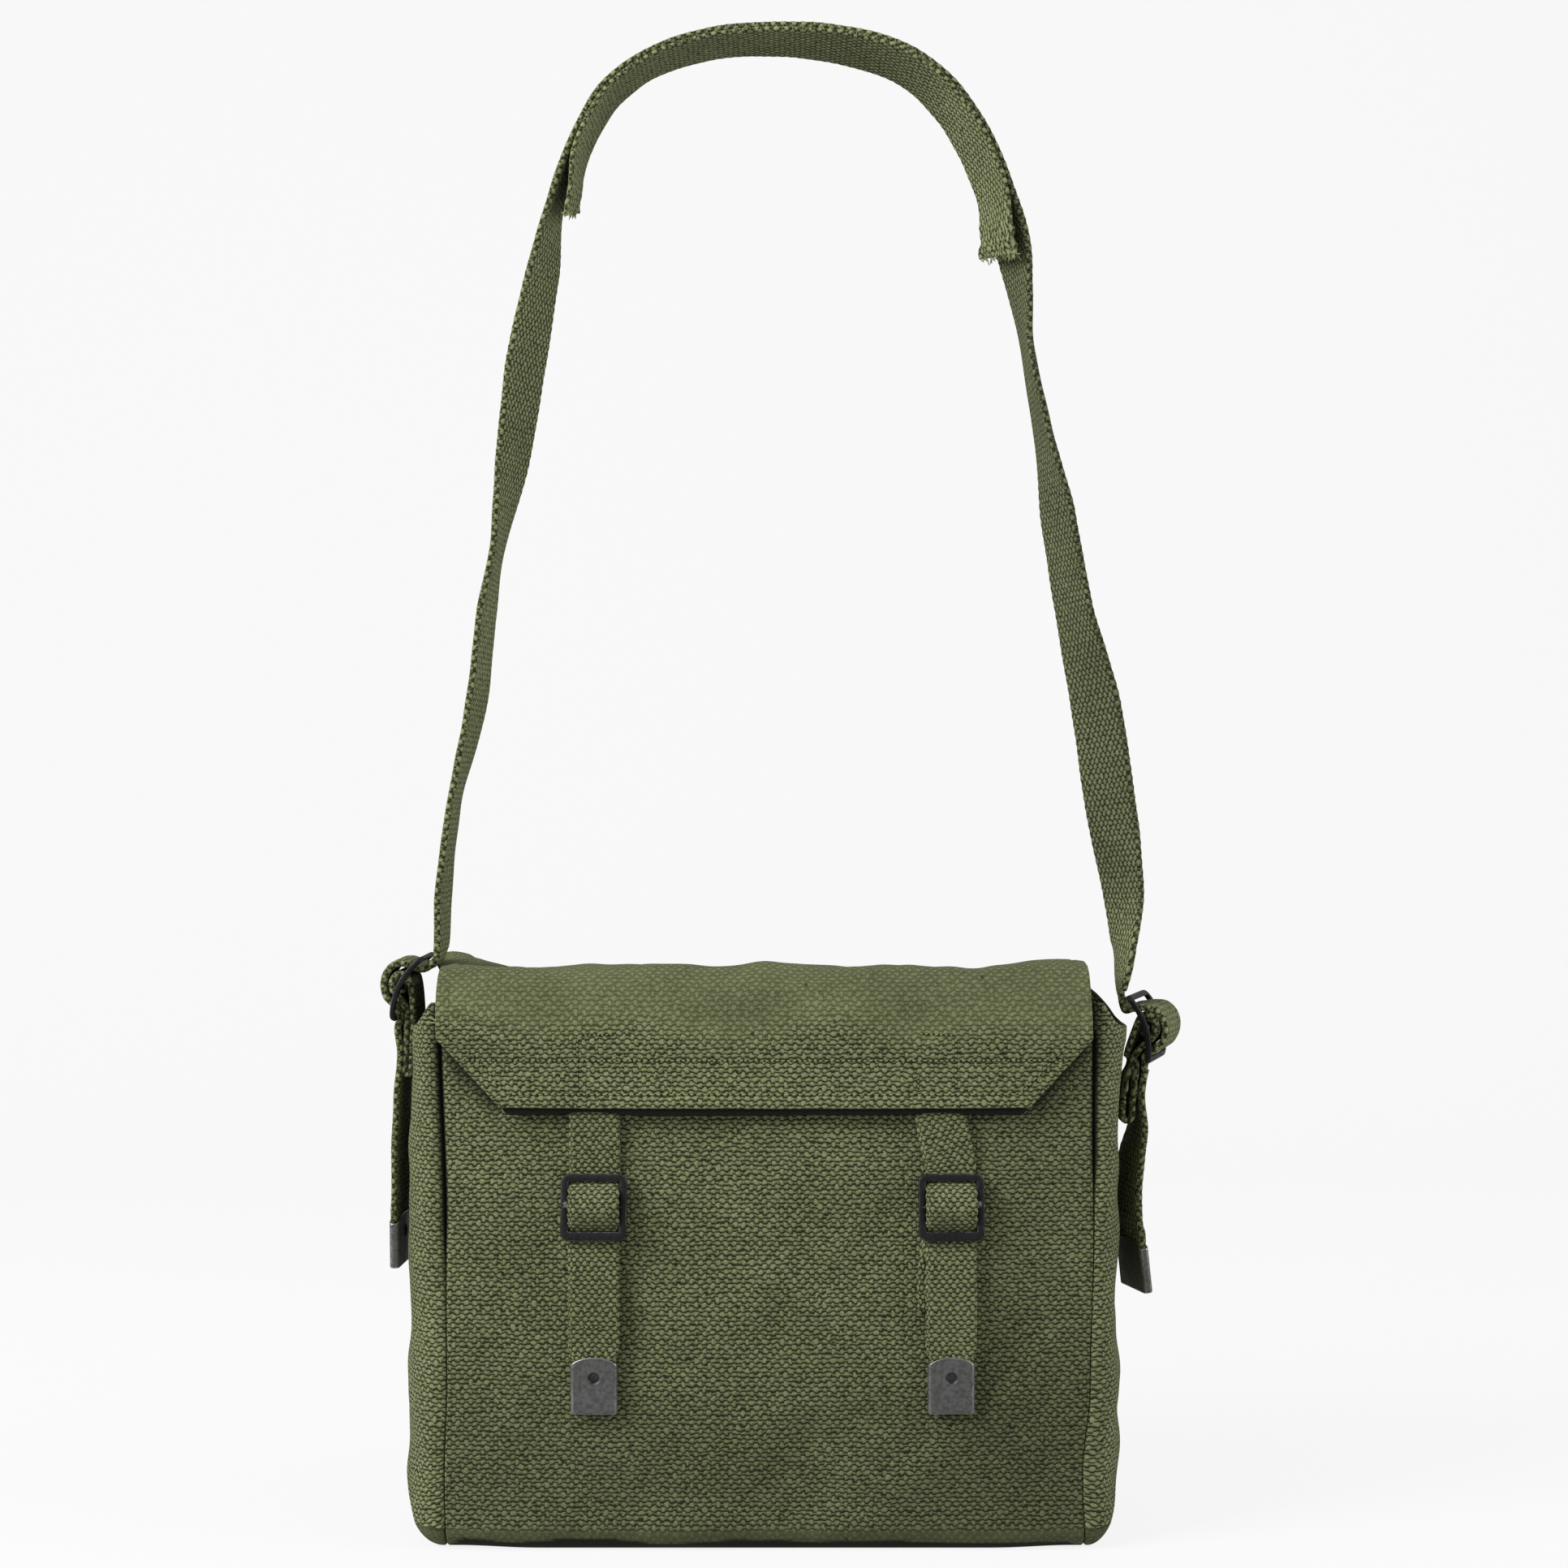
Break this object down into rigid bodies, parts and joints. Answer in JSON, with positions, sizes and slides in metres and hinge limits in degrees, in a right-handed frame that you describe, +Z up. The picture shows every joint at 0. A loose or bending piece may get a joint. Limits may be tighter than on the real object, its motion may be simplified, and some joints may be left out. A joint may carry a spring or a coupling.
{
  "type": "haversack",
  "caption": "Olive canvas haversack with a buckled flap, metal strap tips and a wide webbing shoulder strap with a sewn-on pad, shown hanging from the crown of its strap.",
  "frame": {"origin": "hanging point on the underside of the shoulder strap's pad, at the strap's crown", "axes": "+X to the right as seen from the front, the front and its flap face -Y, +Z up"},
  "size_m": [0.4051, 0.1303, 0.7641],
  "materials": {
    "canvas": "heavy plain-weave cotton canvas, olive",
    "webbing": "cotton webbing, olive",
    "black_metal": "blackened steel, worn at the edges",
    "tip_metal": "dull grey steel"
  },
  "bodies": {
    "root": {"main_panel": "canvas", "gusset_left": "canvas", "gusset_right": "canvas", "flap": "canvas", "shoulder_strap": "webbing", "shoulder_pad": "webbing", "closing_strap_left": "webbing", "front_chape_left": "webbing", "front_buckle_left": "black_metal", "closing_tip_left": "tip_metal", "side_chape_left": "webbing", "side_buckle_left": "black_metal", "strap_tip_left": "tip_metal", "closing_strap_right": "webbing", "front_chape_right": "webbing", "front_buckle_right": "black_metal", "closing_tip_right": "tip_metal", "side_chape_right": "webbing", "side_buckle_right": "black_metal", "strap_tip_right": "tip_metal"}
  },
  "joints": []
}
